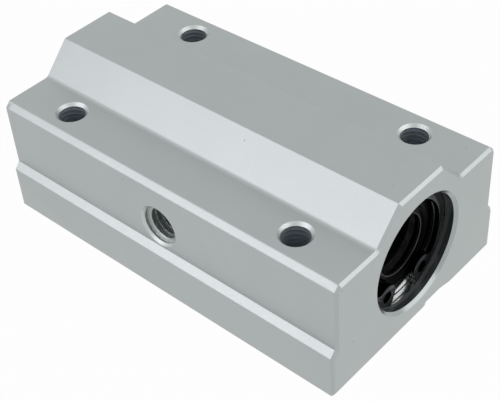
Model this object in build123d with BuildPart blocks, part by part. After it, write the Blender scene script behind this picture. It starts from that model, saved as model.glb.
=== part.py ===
from build123d import *
import os
from math import floor, sqrt

# Long pillow block for a 10 mm shaft: an aluminium extrusion that holds two ball bushings in line.
# The shaft runs along X, +X is the front end, and the block stands on Z = 0 with the origin in the
# middle of its base. All sizes are in millimetres.

# Housing, the outline of the extrusion
length = 68.0
base_width = 40.0
step_height = 7.9          # the foot keeps the full width up to here
step_rise = 1.1            # height of the slant above the foot
waist_inset = 1.0          # how far each side stands back above the slant
shoulder_height = 21.0
shoulder_chamfer = 0.9
hump_width = 20.0          # across the feet of the two slopes
top_width = 10.0
height = 26.0
root_radius = 1.2          # where a shoulder runs into its slope
corner_radius = 0.25       # the soft corners that the extrusion die leaves
end_chamfer = 0.45         # deburred edge around each sawn end

# Housing, the shallow channel along the underside, off centre towards +Y
channel_near_edge = 2.0
channel_near_run = 0.6
channel_flat = 3.6
channel_far_run = 5.0
channel_depth = 1.05

# Housing, bolt holes and grease port
bolt_pitch_length = 46.0
bolt_pitch_width = 28.0
bolt_hole_diameter = 4.3
bolt_countersink = 5.3
port_diameter = 6.0        # the major diameter of its M6 thread
port_countersink = 7.3
port_floor = 2.5           # left between the end of the thread and the bore
countersink_angle = 90.0
drill_point_angle = 118.0

# Bushing bore and circlip grooves
bore_height = 13.0
bore_clearance = 0.01      # on the radius, between the bore and what slides into it
bore_chamfer = 0.5
groove_edge = 2.0          # from the end of the block to the circlip groove
groove_width = 1.1
groove_diameter = 20.0

# Bushing sleeve
shaft_diameter = 10.0
bushing_diameter = 19.0
sleeve_groove_edge = 3.5   # from each end of the sleeve to its outer groove
sleeve_groove_width = 1.3
sleeve_groove_diameter = 18.0
sleeve_chamfer = 0.4
recess_diameter = 15.9     # at each end, for the end ring and the seal
relief_depth = 0.7         # how far the wall stands back between the ball lands
land_angle = 22.0
land_root = 0.3            # how deep a land is rooted in the wall

# Ball circuits and their cage
circuits = 4
ball_diameter = 2.0
ball_gap = 0.06            # between one ball and the next
return_rise = 0.65         # the returning balls run this much further from the shaft
return_angle = 33.0        # from the loaded row to the returning row
track_clearance = 0.04     # around a ball, on the radius
track_taper = 15.0         # the track narrows inwards, which keeps the balls in without a shaft
track_end_wall = 0.8
rib_gap_angle = 1.5        # between a rib of the cage and the land beside it
cage_bore_clearance = 0.3  # between the shaft and the cage, on the radius
cage_clearance = 0.05      # between the cage and the sleeve, on the radius

# End rings and seals
ring_thickness = 0.8
ring_bore = 11.2
seal_thickness = 1.5
seal_rim = 1.65            # radial width of the thick rim
seal_dish = 0.2            # how far the web lies behind the rim on both faces
lip_setback = 0.1          # from the rim's outer face to the lip's front edge
lip_land = 0.5             # length of the lip that touches the shaft
lip_height = 0.9           # radial height of the tapered lip
seat_clearance = 0.02      # on the radius, in the sleeve's recess
end_play = 0.05            # along the shaft, beside each piece in the stack

# Circlips
circlip_thickness = 1.0
circlip_clearance = 0.02   # on the radius, to the bottom of the groove
circlip_wide = 2.2         # radial width opposite the gap
circlip_narrow = 1.5       # radial width beside the lugs
lug_diameter = 4.1
lug_hole_diameter = 2.0
lug_angle = 33.2           # from the middle of the gap to a lug hole
gap_angle = 19.2           # from the middle of the gap to the cut end of a lug
circlip_turn = -2.2        # how far the middle of the gap lies from straight down
lug_root_radius = 1.0      # where a lug runs into the ring

# Spacer between the bushings
spacer_length = 3.7
spacer_wall = 1.5
grease_hole_diameter = 3.0

# What follows from the sizes above
bore_radius = bushing_diameter / 2 + bore_clearance
waist_half = base_width / 2 - waist_inset
port_depth = waist_half - bore_radius - port_floor
end_stack = groove_edge + groove_width
bushing_length = (length - spacer_length) / 2 - end_play - end_stack
bushing_middle = length / 2 - end_stack - bushing_length / 2
sleeve_groove_place = bushing_length / 2 - sleeve_groove_edge
ball_radius = ball_diameter / 2
ball_edge = ball_diameter / sqrt(5 + 2 * sqrt(2))    # every edge of a 26-faced ball is this long
loaded_radius = shaft_diameter / 2 + ball_radius
return_radius = loaded_radius + return_rise
land_radius = shaft_diameter / 2 + ball_diameter
relief_radius = land_radius + relief_depth
recess_radius = recess_diameter / 2
seat_radius = recess_radius - seat_clearance
recess_depth = ring_thickness + seal_thickness + 2 * end_play
cage_length = bushing_length - 2 * (recess_depth + end_play)
clip_radius = groove_diameter / 2 - circlip_clearance
clip_bore_radius = clip_radius - (circlip_wide + circlip_narrow) / 2
lug_radius = clip_radius - lug_diameter / 2
rows = [360 / circuits * number for number in range(circuits)]
track_radius = ball_radius + track_clearance
loaded_row = Vector(0, loaded_radius, 0)
return_row = Vector(0, return_radius, 0).rotate(Axis.X, return_angle)
across_track = return_row - loaded_row
turn_radius = across_track.length / 2
track_straight = cage_length - 2 * (track_end_wall + turn_radius + track_radius)
track_plane = Plane(
    origin=(loaded_row + return_row) / 2,
    x_dir=(1, 0, 0),
    z_dir=across_track.cross(Vector(1, 0, 0)),
)
bore_axis = Axis((0, 0, bore_height), (1, 0, 0))

os.makedirs("parts", exist_ok=True)


def save(piece, name):
    piece.part.label = name
    export_step(piece.part, f"parts/{name}.step")


def ring_sector(inner, outer, middle, width):
    # a piece of a flat ring, between two radii, with its middle at one angle
    with BuildSketch() as piece:
        with BuildLine():
            far = CenterArc((0, 0), outer, middle - width / 2, width)
            near = CenterArc((0, 0), inner, middle - width / 2, width)
            Line(far @ 0, near @ 0)
            Line(far @ 1, near @ 1)
        make_face()
    return piece.sketch


# Housing
with BuildPart() as housing:
    with BuildSketch(Plane.YZ) as section:
        with BuildLine():
            Polyline(
                (0, 0),
                (base_width / 2, 0),
                (base_width / 2, step_height),
                (waist_half, step_height + step_rise),
                (waist_half, shoulder_height),
                (hump_width / 2, shoulder_height),
                (top_width / 2, height),
                (0, height),
            )
            mirror(about=Plane.YZ)
        make_face()
        shoulder = section.vertices().group_by(Axis.Y)[-2].sort_by(Axis.X)
        chamfer([shoulder[0], shoulder[-1]], length=shoulder_chamfer)
        roots = section.vertices().group_by(Axis.Y)[-2].sort_by(Axis.X)[1:3]
        fillet(roots, radius=root_radius)
    extrude(amount=length / 2, both=True)
    ends = housing.faces().filter_by(Axis.X).sort_by(Axis.X)
    chamfer(ends[0].edges() + ends[-1].edges(), length=end_chamfer)
    levels = housing.edges().filter_by(Axis.X).group_by(Axis.Z)
    fillet(levels[0] + levels[1] + levels[2] + levels[-1], radius=corner_radius)
    with BuildSketch(Plane.YZ) as channel:
        with BuildLine():
            Polyline(
                (channel_near_edge, 0),
                (channel_near_edge + channel_near_run, channel_depth),
                (channel_near_edge + channel_near_run + channel_flat, channel_depth),
                (channel_near_edge + channel_near_run + channel_flat + channel_far_run, 0),
                close=True,
            )
        make_face()
    extrude(amount=length / 2, both=True, mode=Mode.SUBTRACT)
    with BuildSketch(Plane.XZ) as bore_profile:
        with BuildLine():
            Polyline(
                (0, bore_height + bore_radius),
                (length / 2 - end_stack, bore_height + bore_radius),
                (length / 2 - end_stack, bore_height + groove_diameter / 2),
                (length / 2 - groove_edge, bore_height + groove_diameter / 2),
                (length / 2 - groove_edge, bore_height + bore_radius),
                (length / 2 - bore_chamfer, bore_height + bore_radius),
                (length / 2, bore_height + bore_radius + bore_chamfer),
                (length / 2, bore_height),
            )
            mirror(about=Plane.YZ)
            Line((-length / 2, bore_height), (length / 2, bore_height))
        make_face()
    revolve(axis=bore_axis, mode=Mode.SUBTRACT)
    with Locations(Plane.XY.offset(shoulder_height)):
        with GridLocations(bolt_pitch_length, bolt_pitch_width, 2, 2):
            CounterSinkHole(bolt_hole_diameter / 2, bolt_countersink / 2, depth=shoulder_height,
                            counter_sink_angle=countersink_angle)
    port_plane = Plane((0, -waist_half, bore_height), x_dir=(1, 0, 0), z_dir=(0, -1, 0))
    with Locations(port_plane):
        CounterSinkHole(port_diameter / 2, port_countersink / 2, depth=port_depth,
                        counter_sink_angle=countersink_angle)
    with Locations(port_plane.offset(-port_depth)):
        CounterSinkHole(grease_hole_diameter / 2, port_diameter / 2,
                        depth=waist_half - port_depth, counter_sink_angle=drill_point_angle)
save(housing, "housing")

# Bushing sleeve: hardened steel, grooved outside, with a land over each loaded row of balls
with BuildPart() as sleeve:
    with BuildSketch(Plane.XZ) as sleeve_profile:
        with BuildLine():
            Polyline(
                (0, bushing_diameter / 2),
                (sleeve_groove_place - sleeve_groove_width, bushing_diameter / 2),
                (sleeve_groove_place - sleeve_groove_width, sleeve_groove_diameter / 2),
                (sleeve_groove_place, sleeve_groove_diameter / 2),
                (sleeve_groove_place, bushing_diameter / 2),
                (bushing_length / 2 - sleeve_chamfer, bushing_diameter / 2),
                (bushing_length / 2, bushing_diameter / 2 - sleeve_chamfer),
                (bushing_length / 2, recess_radius),
                (bushing_length / 2 - recess_depth, recess_radius),
                (bushing_length / 2 - recess_depth, relief_radius),
                (0, relief_radius),
            )
            mirror(about=Plane.YZ)
        make_face()
    revolve(axis=Axis.X)
    with BuildSketch(Plane.YZ) as lands:
        for row in rows:
            add(ring_sector(land_radius, relief_radius + land_root, row, land_angle))
    extrude(amount=track_straight / 2, both=True)

# One closed ball track: out along the loaded row, round, and back along the row that returns
with BuildPart() as track:
    with BuildSketch(track_plane) as track_opening:
        SlotCenterToCenter(track_straight, 2 * (turn_radius + track_radius))
        SlotCenterToCenter(track_straight, 2 * (turn_radius - track_radius), mode=Mode.SUBTRACT)
    extrude(amount=ball_diameter)
    extrude(track_opening.sketch, amount=-track_radius, taper=track_taper)

# Ball cage: a resin tube whose ribs fill the sleeve between its lands
with BuildPart() as cage:
    with BuildSketch(Plane.YZ) as cage_section:
        Circle(land_radius - cage_clearance)
        for row in rows:
            add(ring_sector(loaded_radius, relief_radius - cage_clearance, row + 180 / circuits,
                            360 / circuits - land_angle - 2 * rib_gap_angle))
        Circle(shaft_diameter / 2 + cage_bore_clearance, mode=Mode.SUBTRACT)
    extrude(amount=cage_length / 2, both=True)
    with Locations(*[Location((0, 0, 0), (row, 0, 0)) for row in rows]):
        add(track.part, mode=Mode.SUBTRACT)

# Ball: there are so many that each has 26 flat faces, with every corner on the true ball
with BuildPart() as ball:
    ball_side = ball_edge * (1 + sqrt(2))
    Box(ball_side, ball_side, ball_side)
    chamfer(ball.edges(), length=ball_edge / sqrt(2))

# One circuit of balls, evenly spaced along the middle of its track
with BuildLine(track_plane) as track_path:
    Line((-track_straight / 2, -turn_radius), (track_straight / 2, -turn_radius))
    CenterArc((track_straight / 2, 0), turn_radius, -90, 180)
    Line((track_straight / 2, turn_radius), (-track_straight / 2, turn_radius))
    CenterArc((-track_straight / 2, 0), turn_radius, 90, 180)
track_wire = track_path.wire()
track_length = track_wire.length
ball_count = floor(track_length / (ball_diameter + ball_gap))
ball_places = [
    track_wire.position_at(track_length * number / ball_count, PositionMode.LENGTH)
    for number in range(ball_count)
]
with BuildPart() as circuit:
    with Locations(*ball_places):
        add(ball.part)

# End ring: holds the cage in the sleeve
with BuildPart() as end_ring:
    with BuildSketch(Plane.YZ) as end_ring_section:
        Circle(seat_radius)
        Circle(ring_bore / 2, mode=Mode.SUBTRACT)
    extrude(amount=ring_thickness)

# Seal: a rubber ring with a thick rim, a thinner web and a lip that leans outwards on the shaft
with BuildPart() as seal:
    with BuildSketch(Plane.XZ) as seal_profile:
        with BuildLine():
            Polyline(
                (seal_thickness, seat_radius),
                (seal_thickness, seat_radius - seal_rim),
                (seal_thickness - seal_dish, seat_radius - seal_rim - seal_dish),
                (seal_thickness - seal_dish, shaft_diameter / 2 + lip_height),
                (seal_thickness - lip_setback, shaft_diameter / 2),
                (seal_thickness - lip_setback - lip_land, shaft_diameter / 2),
                (seal_dish, shaft_diameter / 2 + lip_height),
                (seal_dish, seat_radius - seal_rim - seal_dish),
                (0, seat_radius - seal_rim),
                (0, seat_radius),
                close=True,
            )
        make_face()
    revolve(axis=Axis.X)

# Circlip: sprung ring that narrows towards its two lugs, with the gap nearly straight down
with BuildPart() as circlip:
    with BuildSketch(Plane.YZ) as circlip_section:
        Circle(clip_radius)
        with Locations((0, (circlip_narrow - circlip_wide) / 2)):
            Circle(clip_bore_radius, mode=Mode.SUBTRACT)
        for side in (-1, 1):
            with PolarLocations(lug_radius, 1, start_angle=-90 + side * lug_angle):
                Circle(lug_diameter / 2)
                Circle(lug_hole_diameter / 2, mode=Mode.SUBTRACT)
        add(ring_sector(shaft_diameter / 2, groove_diameter / 2, -90, 2 * gap_angle),
            mode=Mode.SUBTRACT)
        fillet(circlip_section.vertices().group_by(Axis.Y)[-1], radius=lug_root_radius)
    extrude(amount=circlip_thickness)

# Spacer: keeps the two bushings apart and lets grease in between them
with BuildPart() as spacer:
    with BuildSketch(Plane.YZ) as spacer_section:
        Circle(bushing_diameter / 2)
        Circle(bushing_diameter / 2 - spacer_wall, mode=Mode.SUBTRACT)
    extrude(amount=spacer_length / 2, both=True)
    with BuildSketch(Plane.XZ) as grease_hole:
        Circle(grease_hole_diameter / 2)
    extrude(amount=bushing_diameter, mode=Mode.SUBTRACT)
with BuildPart() as placed_spacer:
    with Locations((0, 0, bore_height)):
        add(spacer.part)
save(placed_spacer, "spacer_ring")

# The pieces of both bushings, each in its place
for end, way in (("front", 1), ("rear", -1)):
    middle = way * bushing_middle
    with BuildPart() as placed_sleeve:
        with Locations((middle, 0, bore_height)):
            add(sleeve.part)
    save(placed_sleeve, f"{end}_sleeve")
    with BuildPart() as placed_cage:
        with Locations((middle, 0, bore_height)):
            add(cage.part)
    save(placed_cage, f"{end}_ball_cage")
    for number, row in enumerate(rows, start=1):
        with BuildPart() as placed_balls:
            with Locations(Location((middle, 0, bore_height), (row, 0, 0))):
                add(circuit.part)
        save(placed_balls, f"{end}_balls_{number}")
    for side, facing in (("outer", way), ("inner", -way)):
        turned = (0, 0, 0 if facing > 0 else 180)
        ring_place = middle + facing * (bushing_length / 2 - recess_depth)
        with BuildPart() as placed_ring:
            with Locations(Location((ring_place, 0, bore_height), turned)):
                add(end_ring.part)
        save(placed_ring, f"{end}_{side}_end_ring")
        seal_place = middle + facing * (bushing_length / 2 - end_play - seal_thickness)
        with BuildPart() as placed_seal:
            with Locations(Location((seal_place, 0, bore_height), turned)):
                add(seal.part)
        save(placed_seal, f"{end}_{side}_seal")
    clip_turned = (circlip_turn, 0, 0 if way > 0 else 180)
    clip_place = way * (length / 2 - groove_edge - (groove_width + circlip_thickness) / 2)
    with BuildPart() as placed_circlip:
        with Locations(Location((clip_place, 0, bore_height), clip_turned)):
            add(circlip.part)
    save(placed_circlip, f"{end}_circlip")
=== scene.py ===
import math

import bmesh
import bpy
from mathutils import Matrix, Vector


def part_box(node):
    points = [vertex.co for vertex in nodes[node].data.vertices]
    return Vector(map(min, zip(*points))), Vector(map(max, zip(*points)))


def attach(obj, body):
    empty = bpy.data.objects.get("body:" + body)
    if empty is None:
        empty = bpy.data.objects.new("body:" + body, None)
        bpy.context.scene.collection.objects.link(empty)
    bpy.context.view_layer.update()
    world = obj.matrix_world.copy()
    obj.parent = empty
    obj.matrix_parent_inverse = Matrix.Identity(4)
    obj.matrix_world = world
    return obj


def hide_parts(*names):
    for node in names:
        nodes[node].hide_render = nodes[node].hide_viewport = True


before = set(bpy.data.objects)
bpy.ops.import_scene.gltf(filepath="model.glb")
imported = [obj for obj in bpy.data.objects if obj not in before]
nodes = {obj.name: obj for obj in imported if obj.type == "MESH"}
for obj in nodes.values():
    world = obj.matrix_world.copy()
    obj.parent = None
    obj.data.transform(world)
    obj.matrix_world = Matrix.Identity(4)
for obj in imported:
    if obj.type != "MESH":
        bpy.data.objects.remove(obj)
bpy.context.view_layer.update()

mm = 0.001
boreHeight = 13.0 * mm              # the shaft's axis above the base
boreAxis = (0, 0, boreHeight)
blockAxis = (0, 0, 0)
blockHalfLength = 34.0 * mm
weldDistance = 0.001 * mm           # points nearer than this are one
flatAngle = math.radians(0.5)       # faces that meet at less than this are one flat face
bpy.context.scene.view_settings.view_transform = "Standard"
print("frame loaded:", len(nodes), "pieces")


def selectOnly(piece):
    bpy.ops.object.select_all(action="DESELECT")
    piece.select_set(True)
    bpy.context.view_layer.objects.active = piece


def editWhole(piece):
    selectOnly(piece)
    bpy.ops.object.mode_set(mode="EDIT")
    bpy.ops.mesh.select_all(action="SELECT")


def weldPoints(piece):
    editWhole(piece)
    bpy.ops.mesh.remove_doubles(threshold=weldDistance)
    bpy.ops.object.mode_set(mode="OBJECT")


def applyModifiers(piece):
    selectOnly(piece)
    for modifier in list(piece.modifiers):
        bpy.ops.object.modifier_apply(modifier=modifier.name)


def applyPlace(piece):
    # the object ends at the origin, with its place in its mesh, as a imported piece's does
    selectOnly(piece)
    bpy.ops.object.transform_apply(location=True, rotation=True, scale=True)


def smoothByAngle(piece, degrees):
    selectOnly(piece)
    bpy.ops.object.shade_smooth_by_angle(angle=math.radians(degrees))


def copyOfNode(nodeName, pieceName):
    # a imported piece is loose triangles: its copy is joined up, so that round walls shade round
    piece = nodes[nodeName].copy()
    piece.data = nodes[nodeName].data.copy()
    piece.name = pieceName
    piece.parent = None
    for key in list(piece.keys()):
        del piece[key]
    bpy.context.scene.collection.objects.link(piece)
    selectOnly(piece)
    bpy.ops.mesh.customdata_custom_splitnormals_clear()
    weldPoints(piece)
    piece.data.materials.clear()
    return piece


def rideBlock(piece, slotName, *replaced):
    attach(piece, "root")
    if replaced:
        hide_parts(*replaced)


# finishes: each has two tones, a spread of roughness and a fine relief, led by patterns of real size
toneDetail = 3.0                    # octaves of noise in a pattern that leads the tones
reliefDetail = 2.0                  # and in one that leads the relief
plainBump = 0.4                     # the relief's strength where a finish names none


def linearColour(hexText):
    # sRGB hex, as a paint program shows it, to the linear colour that a shader takes
    channels = [int(hexText[place:place + 2], 16) / 255 for place in (1, 3, 5)]
    return [c / 12.92 if c <= 0.04045 else ((c + 0.055) / 1.055) ** 2.4 for c in channels] + [1.0]


def addNode(tree, kind, values=None, links=None, **settings):
    node = tree.nodes.new("ShaderNode" + kind)
    for name, value in settings.items():
        setattr(node, name, value)
    for socket, value in (values or {}).items():
        node.inputs[socket].default_value = value
    for socket, source in (links or {}).items():
        tree.links.new(source, node.inputs[socket])
    return node.outputs[0]


def startFinish(name, fixed):
    # fixed values go on the shader's own sockets; patterns are linked in afterwards
    finish = bpy.data.materials.new(name)
    finish.use_nodes = True
    shader = finish.node_tree.nodes["Principled BSDF"]
    for socket, value in fixed.items():
        shader.inputs[socket].default_value = value
    texture = finish.node_tree.nodes.new("ShaderNodeTexCoord")
    return finish, finish.node_tree, shader, texture.outputs["Object"]


def dressFinish(tree, shader, plan, tonePattern, sheenPattern, reliefPattern):
    tone = addNode(tree, "MixRGB", {"Color1": linearColour(plan["shade"]),
                                    "Color2": linearColour(plan["colour"])}, {"Fac": tonePattern})
    tree.links.new(tone, shader.inputs["Base Color"])
    sheen = addNode(tree, "MapRange", {"To Min": plan["roughness"] - plan["spread"],
                                       "To Max": plan["roughness"] + plan["spread"]},
                    {"Value": sheenPattern})
    tree.links.new(sheen, shader.inputs["Roughness"])
    relief = addNode(tree, "Bump", {"Strength": plan.get("bump", plainBump), "Distance": plan["depth"]},
                     {"Height": reliefPattern})
    tree.links.new(relief, shader.inputs["Normal"])
    return tone


# Aluminium 6063, bead blasted and clear anodised: an even satin grey, a shade cooler than bare metal,
# with a grain that only just breaks up a highlight and a few dark pinholes
blasted = {
    "colour": "#AFB5B4",
    "shade": "#A9AFAE",             # the bath takes a little darker in places
    "roughness": 0.40,
    "spread": 0.09,
    "grain": 0.20 * mm,             # the grit's own pits are 0.05 mm; drawn coarser so that they show
    "depth": 0.014 * mm,
    "bump": 0.9,
    "cloud": 9.0 * mm,              # the size of a darker place
    "pinholeSpacing": 3.4 * mm,
    "pinholeRadius": 0.10 * mm,
    "pinholeShare": 0.2,            # of the places where one could be
    "pinhole": "#5E6261",
}


def makeBlasted():
    plan = blasted
    finish, tree, shader, place = startFinish("blastedAnodisedAluminium", {"Metallic": 1.0})
    cloud = addNode(tree, "TexNoise", {"Scale": 1 / plan["cloud"], "Detail": toneDetail}, {"Vector": place})
    grain = addNode(tree, "TexNoise", {"Scale": 1 / plan["grain"], "Detail": reliefDetail}, {"Vector": place})
    tone = dressFinish(tree, shader, plan, cloud, grain, grain)
    # a pinhole is the middle of a cell, in the few cells whose random draw is low
    cells = tree.nodes.new("ShaderNodeTexVoronoi")
    cells.inputs["Scale"].default_value = 1 / plan["pinholeSpacing"]
    tree.links.new(place, cells.inputs["Vector"])
    near = addNode(tree, "Math", {1: plan["pinholeRadius"] / plan["pinholeSpacing"]},
                   {0: cells.outputs["Distance"]}, operation="LESS_THAN")
    draw = addNode(tree, "SeparateColor", links={"Color": cells.outputs["Color"]})
    rare = addNode(tree, "Math", {1: plan["pinholeShare"]}, {0: draw}, operation="LESS_THAN")
    hole = addNode(tree, "Math", links={0: near, 1: rare}, operation="MULTIPLY")
    pitted = addNode(tree, "MixRGB", {"Color2": linearColour(plan["pinhole"])}, {"Fac": hole, "Color1": tone})
    tree.links.new(pitted, shader.inputs["Base Color"])
    return finish


# Walls of the tapped holes: anodised after tapping, so they are dull and a little blue
tapped = {
    "colour": "#A6AFB6",
    "shade": "#929CA3",
    "metallic": 0.6,                # the oxide layer in a hole scatters light as well
    "roughness": 0.46,
    "spread": 0.06,
    "mottle": 0.9 * mm,
    "tearing": 0.12 * mm,           # the tap tears the flanks a little
    "depth": 0.006 * mm,
    "bump": 0.5,
}


def makeTapped():
    plan = tapped
    finish, tree, shader, place = startFinish("tappedAluminium", {"Metallic": plan["metallic"]})
    mottle = addNode(tree, "TexNoise", {"Scale": 1 / plan["mottle"], "Detail": toneDetail}, {"Vector": place})
    torn = addNode(tree, "TexNoise", {"Scale": 1 / plan["tearing"], "Detail": reliefDetail},
                   {"Vector": place})
    dressFinish(tree, shader, plan, mottle, mottle, torn)
    return finish


# Every turned, bored, drilled or ground surface: metal with fine rings about an axis
ringPattern = {
    "waveUnit": 2 * math.pi / 20,   # one wave of the wave texture, at scale 1
    "wobble": 0.4,                  # a tool's rings aren't quite even
    "mottle": 3.0 * mm,
}
ringedFinishes = {
    # the same alloy, bored after the blasting and then anodised: a dark grey shine with boring rings 0.18 mm
    # apart; the oxide scatters part of the light. Its dark grey is partly painted shade: darker than the
    # oxide alone makes it, for the shade deep in the bore
    "boredAluminiumPaintedShade": {"colour": "#787D80", "shade": "#6A6F73", "metallic": 0.65,
                               "roughness": 0.20, "spread": 0.04, "axis": "X", "centre": boreAxis,
                               "pitch": 0.18 * mm, "depth": 0.0004 * mm},
    # the last of the bore before the groove, where the boring bar stopped: duller; its dark grey, like the
    # rest of the bore's, is partly painted shade, for the shade deep in the bore
    "steppedAluminiumPaintedShade": {"colour": "#808484", "shade": "#717575", "metallic": 0.5,
                         "roughness": 0.30, "spread": 0.05, "axis": "X", "centre": boreAxis,
                         "pitch": 0.2 * mm, "depth": 0.0006 * mm},
    # the circlip's groove: a form tool leaves it bright
    "groovedAluminium": {"colour": "#CACDCC", "shade": "#BEC1C0", "metallic": 1.0,
                         "roughness": 0.15, "spread": 0.04, "axis": "X", "centre": boreAxis,
                         "pitch": 0.3 * mm, "depth": 0.0008 * mm},
    # the bore's mouth, broken with a turning tool: a half bright ring
    "turnedMouthAluminium": {"colour": "#A4A9A9", "shade": "#999E9E", "metallic": 1.0,
                             "roughness": 0.25, "spread": 0.05, "axis": "X", "centre": boreAxis,
                             "pitch": 0.2 * mm, "depth": 0.0008 * mm},
    # the grease port's thread, cut into the side: satin flanks with the tap's rings
    "threadedAluminium": {"colour": "#B9C0BE", "shade": "#A9B0AE", "metallic": 0.6,
                          "roughness": 0.38, "spread": 0.06, "axis": "Y", "centre": boreAxis,
                          "pitch": 0.11 * mm, "depth": 0.0008 * mm},
    # chamfers of the bolt holes and the port, cut with a countersink: pale satin, slightly chattered;
    # one finish serves them all, so its rings lie about the block's middle and show as chatter
    "countersunkAluminium": {"colour": "#C2C8C6", "shade": "#B4BAB8", "metallic": 1.0,
                             "roughness": 0.42, "spread": 0.08, "axis": "Z", "centre": blockAxis,
                             "pitch": 0.25 * mm, "depth": 0.002 * mm},
    # hardened and ground bearing steel: bright, with grinding rings too fine for the eye, drawn
    # 0.12 mm apart
    "groundBearingSteel": {"colour": "#DADADA", "shade": "#CBCBCB", "metallic": 1.0,
                           "roughness": 0.10, "spread": 0.03, "axis": "X", "centre": boreAxis,
                           "pitch": 0.12 * mm, "depth": 0.0003 * mm},
    # end rings pressed from cold rolled strip: duller, with a trace of the die
    "stampedSteel": {"colour": "#9C9C9A", "shade": "#8A8A88", "metallic": 1.0,
                     "roughness": 0.36, "spread": 0.08, "axis": "X", "centre": boreAxis,
                     "pitch": 0.5 * mm, "depth": 0.001 * mm},
    # spacer turned from aluminium tube, uncoated: a plain machined shine
    "turnedAluminium": {"colour": "#BDBEBF", "shade": "#A9AAAB", "metallic": 1.0,
                        "roughness": 0.30, "spread": 0.06, "axis": "X", "centre": boreAxis,
                        "pitch": 0.2 * mm, "depth": 0.003 * mm},
}


def makeRinged(name):
    plan = ringedFinishes[name]
    finish, tree, shader, place = startFinish(name, {"Metallic": plan["metallic"]})
    centred = addNode(tree, "Mapping", {"Location": [-c for c in plan["centre"]]}, {"Vector": place})
    rings = addNode(tree, "TexWave", {"Scale": ringPattern["waveUnit"] / plan["pitch"],
                                      "Distortion": ringPattern["wobble"], "Detail": reliefDetail},
                    {"Vector": centred}, wave_type="RINGS", rings_direction=plan["axis"])
    mottle = addNode(tree, "TexNoise", {"Scale": 1 / ringPattern["mottle"], "Detail": toneDetail},
                     {"Vector": centred})
    dressFinish(tree, shader, plan, mottle, rings, rings)
    return finish


# Finishes with a plain grain, which leads their tone, sheen and relief alike
grainedFinishes = {
    # spring steel in a manganese phosphate bath, oiled: near black, with the oil's own glint
    "phosphatedSpringSteel": {"colour": "#1F2123", "shade": "#181A1C", "metallic": 1.0, "roughness": 0.17,
                              "spread": 0.04, "specular": 0.5, "grain": 0.10 * mm, "depth": 0.004 * mm},
    # nitrile rubber, moulded against a satin tool: black, nearly no shine
    "nitrileRubber": {"colour": "#040405", "shade": "#020203", "metallic": 0.0, "roughness": 0.16,
                      "spread": 0.04, "specular": 0.015, "grain": 0.12 * mm, "depth": 0.003 * mm},
    # the lip's own edge, where the mould's two halves met and were trimmed: it shines a little
    "trimmedRubberEdge": {"colour": "#1B1D20", "shade": "#15171A", "metallic": 0.0, "roughness": 0.24,
                          "spread": 0.05, "specular": 0.7, "grain": 0.12 * mm, "depth": 0.002 * mm},
    # acetal cage, moulded in black: a soft even sheen
    "mouldedAcetal": {"colour": "#0E0E10", "shade": "#08080A", "metallic": 0.0, "roughness": 0.45,
                      "spread": 0.06, "specular": 0.12, "grain": 0.3 * mm, "depth": 0.003 * mm},
    # chrome steel balls, lapped: mirror bright
    "lappedBallSteel": {"colour": "#CDCED0", "shade": "#C6C7C9", "metallic": 1.0, "roughness": 0.10,
                        "spread": 0.02, "specular": 0.5, "grain": 0.2 * mm, "depth": 0.0003 * mm},
}


def makeGrained(name):
    plan = grainedFinishes[name]
    finish, tree, shader, place = startFinish(name, {"Metallic": plan["metallic"],
                                                     "Specular IOR Level": plan["specular"]})
    grain = addNode(tree, "TexNoise", {"Scale": 1 / plan["grain"], "Detail": reliefDetail}, {"Vector": place})
    dressFinish(tree, shader, plan, grain, grain, grain)
    return finish


finishes = {"blasted": makeBlasted(), "tapped": makeTapped()}
for finishName in ringedFinishes:
    finishes[finishName] = makeRinged(finishName)
for finishName in grainedFinishes:
    finishes[finishName] = makeGrained(finishName)
print("finishes made:", len(finishes))

# housing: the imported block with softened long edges, and room in its holes for the threads
housing = {
    "finishes": ("blasted", "boredAluminiumPaintedShade", "countersunkAluminium", "tapped",
                 "groovedAluminium", "turnedMouthAluminium", "steppedAluminiumPaintedShade"),
    "longEdge": 40.0 * mm,          # an edge longer than this runs along the block
    "arris": 0.16 * mm,             # how far such an edge is rounded
    "arrisAngle": 25,               # a flatter edge isn't rounded
    "arrisSteps": 3,
    "boreRadius": 10.01 * mm,       # out to the edge of the mouth's chamfer
    "mouthDepth": 0.49 * mm,        # where the chamfer ends and the bore begins
    "stepPlace": 1.40 * mm,         # where the bore's duller end begins
    "groovePlace": 1.99 * mm,       # where the circlip's groove begins
    "grooveEnd": 3.11 * mm,
    "boltAxes": tuple((x * mm, y * mm) for x in (-23.0, 23.0) for y in (-14.0, 14.0)),
    "boltCountersinkRadius": 2.68 * mm,
    "portCountersinkRadius": 3.68 * mm,
    "portSide": (-19.02 * mm, -9.0 * mm),   # the port's chamfer and wall lie between these two
    "upright": 0.05,                # a hole's wall has less of its normal than this along the hole
    "tilted": 0.99,                 # and its chamfer has less than this
    "boltWall": 2.2 * mm,           # the wall's points lie within this of a bolt hole's axis
    "boltRim": 20.9 * mm,           # and below this height
    "portWall": 3.0 * mm,
    "portRim": -18.9 * mm,
    "portEnd": -11.0 * mm,
    "standBack": 0.45 * mm,         # how far a hole's wall makes room for its thread
    "slack": 0.02 * mm,
    "smoothAngle": 30,
}


def softenLongEdges(piece):
    # an extrusion die and the blasting leave no sharp arris along the block
    plan = housing
    editWhole(piece)
    bpy.ops.mesh.select_mode(type="EDGE")
    bpy.ops.mesh.dissolve_limited(angle_limit=flatAngle)
    bpy.ops.mesh.select_all(action="DESELECT")
    shell = bmesh.from_edit_mesh(piece.data)
    for edge in shell.edges:
        folded = edge.calc_face_angle(0) > math.radians(plan["arrisAngle"])
        if folded and edge.calc_length() > plan["longEdge"]:
            edge.select_set(True)
    bmesh.update_edit_mesh(piece.data)
    bpy.ops.mesh.bevel(offset=plan["arris"], segments=plan["arrisSteps"])
    bpy.ops.mesh.select_all(action="SELECT")
    bpy.ops.mesh.quads_convert_to_tris()
    bpy.ops.object.mode_set(mode="OBJECT")


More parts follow.
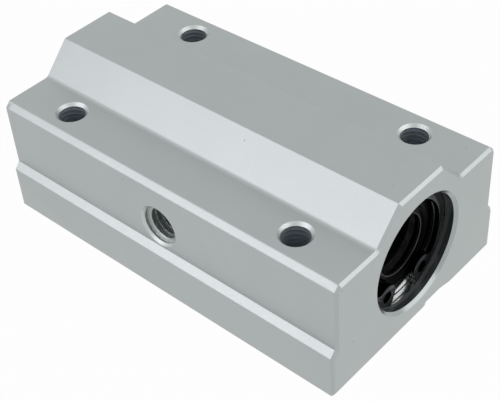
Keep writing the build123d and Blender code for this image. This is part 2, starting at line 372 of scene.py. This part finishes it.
def housingFinish(middle, normal):
    # the finish of one face of the housing, by its place
    plan = housing
    if math.hypot(middle.y, middle.z - boreHeight) < plan["boreRadius"] + plan["slack"]:
        depth = blockHalfLength - abs(middle.x)
        if depth < plan["mouthDepth"]:
            return "turnedMouthAluminium"
        if plan["groovePlace"] < depth < plan["grooveEnd"]:
            return "groovedAluminium"
        # the bore's wall finishes have a dark grey that is partly painted shade, for the shade in the bore
        if plan["stepPlace"] < depth < plan["groovePlace"]:
            return "steppedAluminiumPaintedShade"
        return "boredAluminiumPaintedShade"
    fromBolt = min(math.hypot(middle.x - x, middle.y - y) for x, y in plan["boltAxes"])
    if fromBolt < plan["boltCountersinkRadius"] and abs(normal.z) < plan["upright"]:
        return "tapped"
    if fromBolt < plan["boltCountersinkRadius"] and abs(normal.z) < plan["tilted"]:
        return "countersunkAluminium"
    fromPort = math.hypot(middle.x, middle.z - boreHeight)
    outer, inner = plan["portSide"]
    inPort = fromPort < plan["portCountersinkRadius"] and outer < middle.y < inner
    if inPort and abs(normal.y) < plan["tilted"]:
        return "countersunkAluminium"
    return "blasted"


def makeRoomForThreads(piece):
    # each hole's wall goes outwards from its axis, apart from its rim on the surface
    plan = housing
    for vertex in piece.data.vertices:
        spot = vertex.co
        for axisX, axisY in plan["boltAxes"]:
            out = Vector((spot.x - axisX, spot.y - axisY, 0))
            if out.length < plan["boltWall"] and spot.z < plan["boltRim"]:
                vertex.co = spot + out.normalized() * plan["standBack"]
        out = Vector((spot.x, 0, spot.z - boreHeight))
        onWall = abs(out.length - plan["portWall"]) < plan["slack"]
        if onWall and plan["portRim"] < spot.y < plan["portEnd"]:
            vertex.co = spot + out.normalized() * plan["standBack"]


def makeHousing():
    plan = housing
    piece = copyOfNode("housing", "blockHousing")
    for finishName in plan["finishes"]:
        piece.data.materials.append(finishes[finishName])
    softenLongEdges(piece)
    for way in (-1, 1):
        # a new row of points round each bore, where its duller end begins
        editWhole(piece)
        bpy.ops.mesh.bisect(plane_co=(way * (blockHalfLength - plan["stepPlace"]), 0, 0), plane_no=(1, 0, 0))
        bpy.ops.object.mode_set(mode="OBJECT")
    for face in piece.data.polygons:
        face.material_index = plan["finishes"].index(housingFinish(face.center, face.normal))
    makeRoomForThreads(piece)
    smoothByAngle(piece, plan["smoothAngle"])
    # each wide flat face keeps its own shading up to the soft edge beside it
    piece.modifiers.new("flatFaces", "WEIGHTED_NORMAL").keep_sharp = True
    applyModifiers(piece)
    rideBlock(piece, "housing", "housing")


makeHousing()
print("housing made")

# tapped holes: real threads, which the solids leave out
# each wall is a fine grid rolled into a tube whose radius follows the countersink, then the thread
threads = {
    # places and lengths in mm; the tap's thread ends at tapped, and the drilled hole runs on
    "portThread": {"places": ((0.0, -19.0, 13.0),), "inwards": (0, 1, 0), "mouth": 3.65,
                   "crest": 2.57, "root": 3.26, "pitch": 1.0, "phase": 0.27, "tapped": 6.2,
                   "drill": 3.0, "length": 6.9, "around": 72, "along": 138,
                   "finish": "threadedAluminium"},
    "boltThread": {"places": tuple((x, y, 21.0) for x in (-23.0, 23.0) for y in (-14.0, 14.0)),
                   "inwards": (0, 0, -1), "mouth": 2.66, "crest": 2.14, "root": 2.20, "pitch": 0.8,
                   "phase": 0.2, "tapped": 12.0, "drill": 2.15, "length": 20.8, "around": 48,
                   "along": 208, "finish": "tapped"},
}
threadShape = {
    "crestShare": 0.10,             # of one pitch, flat along the crest
    "rootShare": 0.46,              # the tap's worn tip leaves a wide flat root
    "smoothAngle": 28,
}


def threadRadius(plan, depth, turn):
    # a trapezoid wave along the hole, shifted by one pitch in each turn; the countersink's cone trims it
    if depth > plan["tapped"]:
        return plan["drill"]
    phase = (depth / plan["pitch"] - turn + plan["phase"]) % 1.0
    fromRoot = abs(phase - 0.5) * 2
    rise = (fromRoot - threadShape["rootShare"]) / (1 - threadShape["crestShare"] - threadShape["rootShare"])
    profile = plan["root"] - (plan["root"] - plan["crest"]) * min(1.0, max(0.0, rise))
    return max(profile, plan["mouth"] - depth)


def makeThread(name, number, place):
    plan = threads[name]
    bpy.ops.object.select_all(action="DESELECT")
    bpy.ops.mesh.primitive_grid_add(x_subdivisions=plan["around"], y_subdivisions=plan["along"], size=1.0,
                                    location=(0, 0, 0))
    piece = bpy.context.object
    piece.name = f"{name}{number}"
    inwards = Vector(plan["inwards"])
    across = Vector((1, 0, 0))
    third = inwards.cross(across)
    for vertex in piece.data.vertices:
        turn, depth = vertex.co.x + 0.5, (vertex.co.y + 0.5) * plan["length"]
        radius = threadRadius(plan, depth, turn)
        angle = 2 * math.pi * turn
        vertex.co = (Vector(place) + inwards * depth
                     + (across * math.cos(angle) + third * math.sin(angle)) * radius) * mm
    weldPoints(piece)
    # a tube's faces have to look at its axis
    face = piece.data.polygons[0]
    toAxis = Vector(place) * mm - face.center
    if (toAxis - inwards * toAxis.dot(inwards)).dot(face.normal) < 0:
        editWhole(piece)
        bpy.ops.mesh.flip_normals()
        bpy.ops.object.mode_set(mode="OBJECT")
    smoothByAngle(piece, threadShape["smoothAngle"])
    piece.data.materials.clear()
    for finishName in (plan["finish"], "countersunkAluminium"):
        piece.data.materials.append(finishes[finishName])
    coneDepth = (plan["mouth"] - plan["root"]) * mm
    for face in piece.data.polygons:
        if (face.center - Vector(place) * mm).dot(inwards) < coneDepth:
            face.material_index = 1
    rideBlock(piece, "housing")
    return len(piece.data.polygons)


for threadName in threads:
    places = threads[threadName]["places"]
    for number, place in enumerate(places, start=1):
        faceCount = makeThread(threadName, number, place)
    print(threadName, "made:", len(places), "of", faceCount, "faces")

# circlips: punched rings, so their edges are slightly rounded
circlip = {
    "edgeRound": 0.07 * mm,
    "edgeSteps": 2,
    "edgeAngle": 50,                # a flatter edge isn't rounded
    "smoothAngle": 35,
}


def makeCirclip(end):
    plan = circlip
    piece = copyOfNode(end + "_circlip", end + "RetainingRing")
    editWhole(piece)
    bpy.ops.mesh.dissolve_limited(angle_limit=flatAngle)
    bpy.ops.object.mode_set(mode="OBJECT")
    soften = piece.modifiers.new("edgeRound", "BEVEL")
    soften.width = plan["edgeRound"]
    soften.segments = plan["edgeSteps"]
    soften.limit_method = "ANGLE"
    soften.angle_limit = math.radians(plan["edgeAngle"])
    applyModifiers(piece)
    smoothByAngle(piece, plan["smoothAngle"])
    piece.data.materials.append(finishes["phosphatedSpringSteel"])
    rideBlock(piece, "circlip", end + "_circlip")


for end in ("front", "rear"):
    makeCirclip(end)
print("circlips made")

# seals: one moulded section, spun about the shaft
seal = {
    # the section's corners in mm, from the rim's back round to its front: along the shaft, then from its axis
    "section": ((0.0, 7.93), (0.0, 6.28), (0.2, 6.08), (0.2, 5.9), (0.9, 5.0), (1.4, 5.0), (1.3, 5.9),
                (1.3, 6.08), (1.5, 6.28), (1.5, 7.93)),
    "cornerRound": 0.10 * mm,
    "cornerSteps": 2,
    "steps": 96,
    "edgeRadius": 5.16 * mm,        # the lip's trimmed edge lies inside this
    "smoothAngle": 40,
}


def makeSeal(nodeName, pieceName, facing):
    # facing is +1 where the seal's outer face looks to +X
    plan = seal
    low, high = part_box(nodeName)
    bpy.ops.object.select_all(action="DESELECT")
    bpy.ops.mesh.primitive_circle_add(vertices=len(plan["section"]), radius=1.0, location=(0, 0, 0))
    piece = bpy.context.object
    piece.name = pieceName
    for vertex, (along, radius) in zip(piece.data.vertices, plan["section"]):
        place = low.x + along * mm if facing > 0 else high.x - along * mm
        vertex.co = (place, 0.0, boreHeight + radius * mm)
    editWhole(piece)
    bpy.ops.mesh.bevel(offset=plan["cornerRound"], segments=plan["cornerSteps"], affect="VERTICES")
    bpy.ops.mesh.select_all(action="SELECT")
    bpy.ops.mesh.spin(steps=plan["steps"], angle=2 * math.pi, center=boreAxis, axis=(1, 0, 0))
    bpy.ops.mesh.select_all(action="SELECT")
    bpy.ops.mesh.remove_doubles(threshold=weldDistance)
    bpy.ops.mesh.normals_make_consistent(inside=False)
    bpy.ops.object.mode_set(mode="OBJECT")
    applyPlace(piece)
    smoothByAngle(piece, plan["smoothAngle"])
    for finishName in ("nitrileRubber", "trimmedRubberEdge"):
        piece.data.materials.append(finishes[finishName])
    for face in piece.data.polygons:
        if math.hypot(face.center.y, face.center.z - boreHeight) < plan["edgeRadius"]:
            face.material_index = 1
    rideBlock(piece, "seal_rubber", nodeName)


for end, way in (("front", 1), ("rear", -1)):
    makeSeal(end + "_outer_seal", end + "OuterShaftSeal", way)
    makeSeal(end + "_inner_seal", end + "InnerShaftSeal", -way)
print("seals made")

# balls: the solids have flat faces, so round ones stand in the same places
ball = {
    "radius": 1.0 * mm,
    "detail": 2,                    # an icosphere of 80 faces: there are 168 balls
}


def ballCentres(nodeName):
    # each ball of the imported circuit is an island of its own
    shell = bmesh.new()
    shell.from_mesh(nodes[nodeName].data)
    bmesh.ops.remove_doubles(shell, verts=shell.verts, dist=weldDistance)
    centres, seen = [], set()
    for vertex in shell.verts:
        if vertex in seen:
            continue
        island, front = {vertex}, [vertex]
        while front:
            for edge in front.pop().link_edges:
                for other in edge.verts:
                    if other not in island:
                        island.add(other)
                        front.append(other)
        seen |= island
        centres.append(sum((v.co for v in island), Vector()) / len(island))
    shell.free()
    return centres


def makeBallCircuit(nodeName, pieceName):
    plan = ball
    bpy.ops.object.select_all(action="DESELECT")
    bpy.ops.mesh.primitive_ico_sphere_add(subdivisions=plan["detail"], radius=plan["radius"],
                                          location=(0, 0, 0))
    pattern = bpy.context.object
    row = []
    for centre in ballCentres(nodeName):
        copy = pattern.copy()
        copy.data = pattern.data.copy()
        copy.location = centre
        bpy.context.scene.collection.objects.link(copy)
        row.append(copy)
    bpy.data.objects.remove(pattern)
    bpy.ops.object.select_all(action="DESELECT")
    for copy in row:
        copy.select_set(True)
    bpy.context.view_layer.objects.active = row[0]
    bpy.ops.object.join()
    piece = bpy.context.object
    piece.name = pieceName
    applyPlace(piece)
    bpy.ops.object.shade_smooth()
    piece.data.materials.append(finishes["lappedBallSteel"])
    rideBlock(piece, "balls", nodeName)
    return len(row)


ballCount = 0
for end in ("front", "rear"):
    for number in (1, 2, 3, 4):
        ballCount += makeBallCircuit(f"{end}_balls_{number}", f"{end}BallCircuit{number}")
print("balls made:", ballCount)

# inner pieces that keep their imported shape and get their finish, by the end of their names
innerFinishes = {
    "_sleeve": "groundBearingSteel",
    "_ball_cage": "mouldedAcetal",
    "_end_ring": "stampedSteel",
    "spacer_ring": "turnedAluminium",
}
for nodeName, node in nodes.items():
    for ending, finishName in innerFinishes.items():
        if nodeName.endswith(ending):
            node.data.materials.clear()
            node.data.materials.append(finishes[finishName])
print("inner pieces finished")

# camera, at the photograph's viewing angle
cameraPlan = {
    "spot": (98.68 * mm, -100.42 * mm, 127.83 * mm),
    "turn": (48.802, 3.198, 41.379),    # degrees
    "lens": 82.28,
    "sensor": 36.0,
    "nearest": 5.0 * mm,            # what is nearer or farther than these isn't drawn
    "farthest": 20.0,
}
cameraData = bpy.data.cameras.new("photoCamera")
cameraData.lens = cameraPlan["lens"]
cameraData.sensor_width = cameraPlan["sensor"]
cameraData.clip_start = cameraPlan["nearest"]
cameraData.clip_end = cameraPlan["farthest"]
camera = bpy.data.objects.new("photoCamera", cameraData)
camera.location = cameraPlan["spot"]
camera.rotation_euler = [math.radians(angle) for angle in cameraPlan["turn"]]
bpy.context.scene.collection.objects.link(camera)
bpy.context.scene.camera = camera
print("camera set")

# studio: a white sweep, an even white room and three lamps
studio = {
    "floorSide": 3.0,
    "paper": "#C8C8C8",
    "cameraWhite": 0.98,            # the share of plain white that the camera sees; the rest keeps the shadow
    "mirrorWhite": 0.99,            # the same for reflections, which see the contact shadow more
    "roomWhite": 1.0,               # the room as the camera sees it
    "roomMirrored": 0.885,          # reflections see the room a little less bright than the floor
    "roomFill": 0.25,               # how much of it lights the block and the floor
}


def whiteWhere(tree, cameraShare, mirrorShare):
    # how white something is, by who looks: the camera, or a reflection or refraction; others see none
    rays = tree.nodes.new("ShaderNodeLightPath")
    seen = addNode(tree, "Math", {1: cameraShare}, {0: rays.outputs["Is Camera Ray"]}, operation="MULTIPLY")
    mirrored = addNode(tree, "Math", {1: mirrorShare}, {0: rays.outputs["Is Glossy Ray"]},
                       operation="MULTIPLY")
    passed = addNode(tree, "Math", {1: mirrorShare}, {0: rays.outputs["Is Transmission Ray"]},
                     operation="MULTIPLY")
    either = addNode(tree, "Math", links={0: seen, 1: mirrored}, operation="MAXIMUM")
    return addNode(tree, "Math", links={0: either, 1: passed}, operation="MAXIMUM")


def makeFloor():
    plan = studio
    bpy.ops.object.select_all(action="DESELECT")
    bpy.ops.mesh.primitive_plane_add(size=plan["floorSide"], location=(0, 0, 0))
    floor = bpy.context.object
    floor.name = "studioFloor"
    finish = bpy.data.materials.new("whiteSweep")
    finish.use_nodes = True
    tree = finish.node_tree
    tree.nodes.clear()
    share = whiteWhere(tree, plan["cameraWhite"], plan["mirrorWhite"])
    paper = addNode(tree, "BsdfDiffuse", {"Color": linearColour(plan["paper"])})
    white = addNode(tree, "Emission", {"Color": (1, 1, 1, 1), "Strength": 1.0})
    sweep = addNode(tree, "MixShader", links={"Fac": share, 1: paper, 2: white})
    output = tree.nodes.new("ShaderNodeOutputMaterial")
    tree.links.new(sweep, output.inputs["Surface"])
    floor.data.materials.append(finish)


def makeRoom():
    plan = studio
    world = bpy.data.worlds.new("whiteRoom")
    bpy.context.scene.world = world
    world.use_nodes = True
    tree = world.node_tree
    tree.nodes.clear()
    share = whiteWhere(tree, plan["roomWhite"], plan["roomMirrored"])
    level = addNode(tree, "MapRange", {"To Min": plan["roomFill"], "To Max": 1.0}, {"Value": share})
    room = addNode(tree, "Background", {"Color": (1, 1, 1, 1)}, {"Strength": level})
    output = tree.nodes.new("ShaderNodeOutputWorld")
    tree.links.new(room, output.inputs["Surface"])


lamps = {
    # towards: from the block to the lamp; the left box is what the near slope mirrors
    "leftSoftbox": {"towards": (-0.33, -0.68, 0.54), "distance": 0.45, "size": 0.42, "power": 0.56,
                    "colour": (0.985, 0.905, 1.0)},
    "lowFill": {"towards": (-0.50, -0.85, 0.20), "distance": 0.40, "size": 0.20, "power": 0.09,
                "colour": (0.93, 1.0, 0.985)},
    "backSoftbox": {"towards": (0.70, 0.36, 0.52), "distance": 0.45, "size": 0.50, "power": 0.70,
                    "colour": (0.98, 0.99, 1.0)},
}


def hangLamp(lampName):
    plan = lamps[lampName]
    lampData = bpy.data.lights.new(lampName, "AREA")
    lampData.shape = "SQUARE"
    lampData.size = plan["size"]
    lampData.energy = plan["power"]
    lampData.color = plan["colour"]
    lamp = bpy.data.objects.new(lampName, lampData)
    towards = Vector(plan["towards"]).normalized()
    lamp.location = Vector(boreAxis) + towards * plan["distance"]
    lamp.rotation_euler = towards.to_track_quat("Z", "Y").to_euler()
    bpy.context.scene.collection.objects.link(lamp)


makeFloor()
makeRoom()
for lampName in lamps:
    hangLamp(lampName)
print("studio lit")
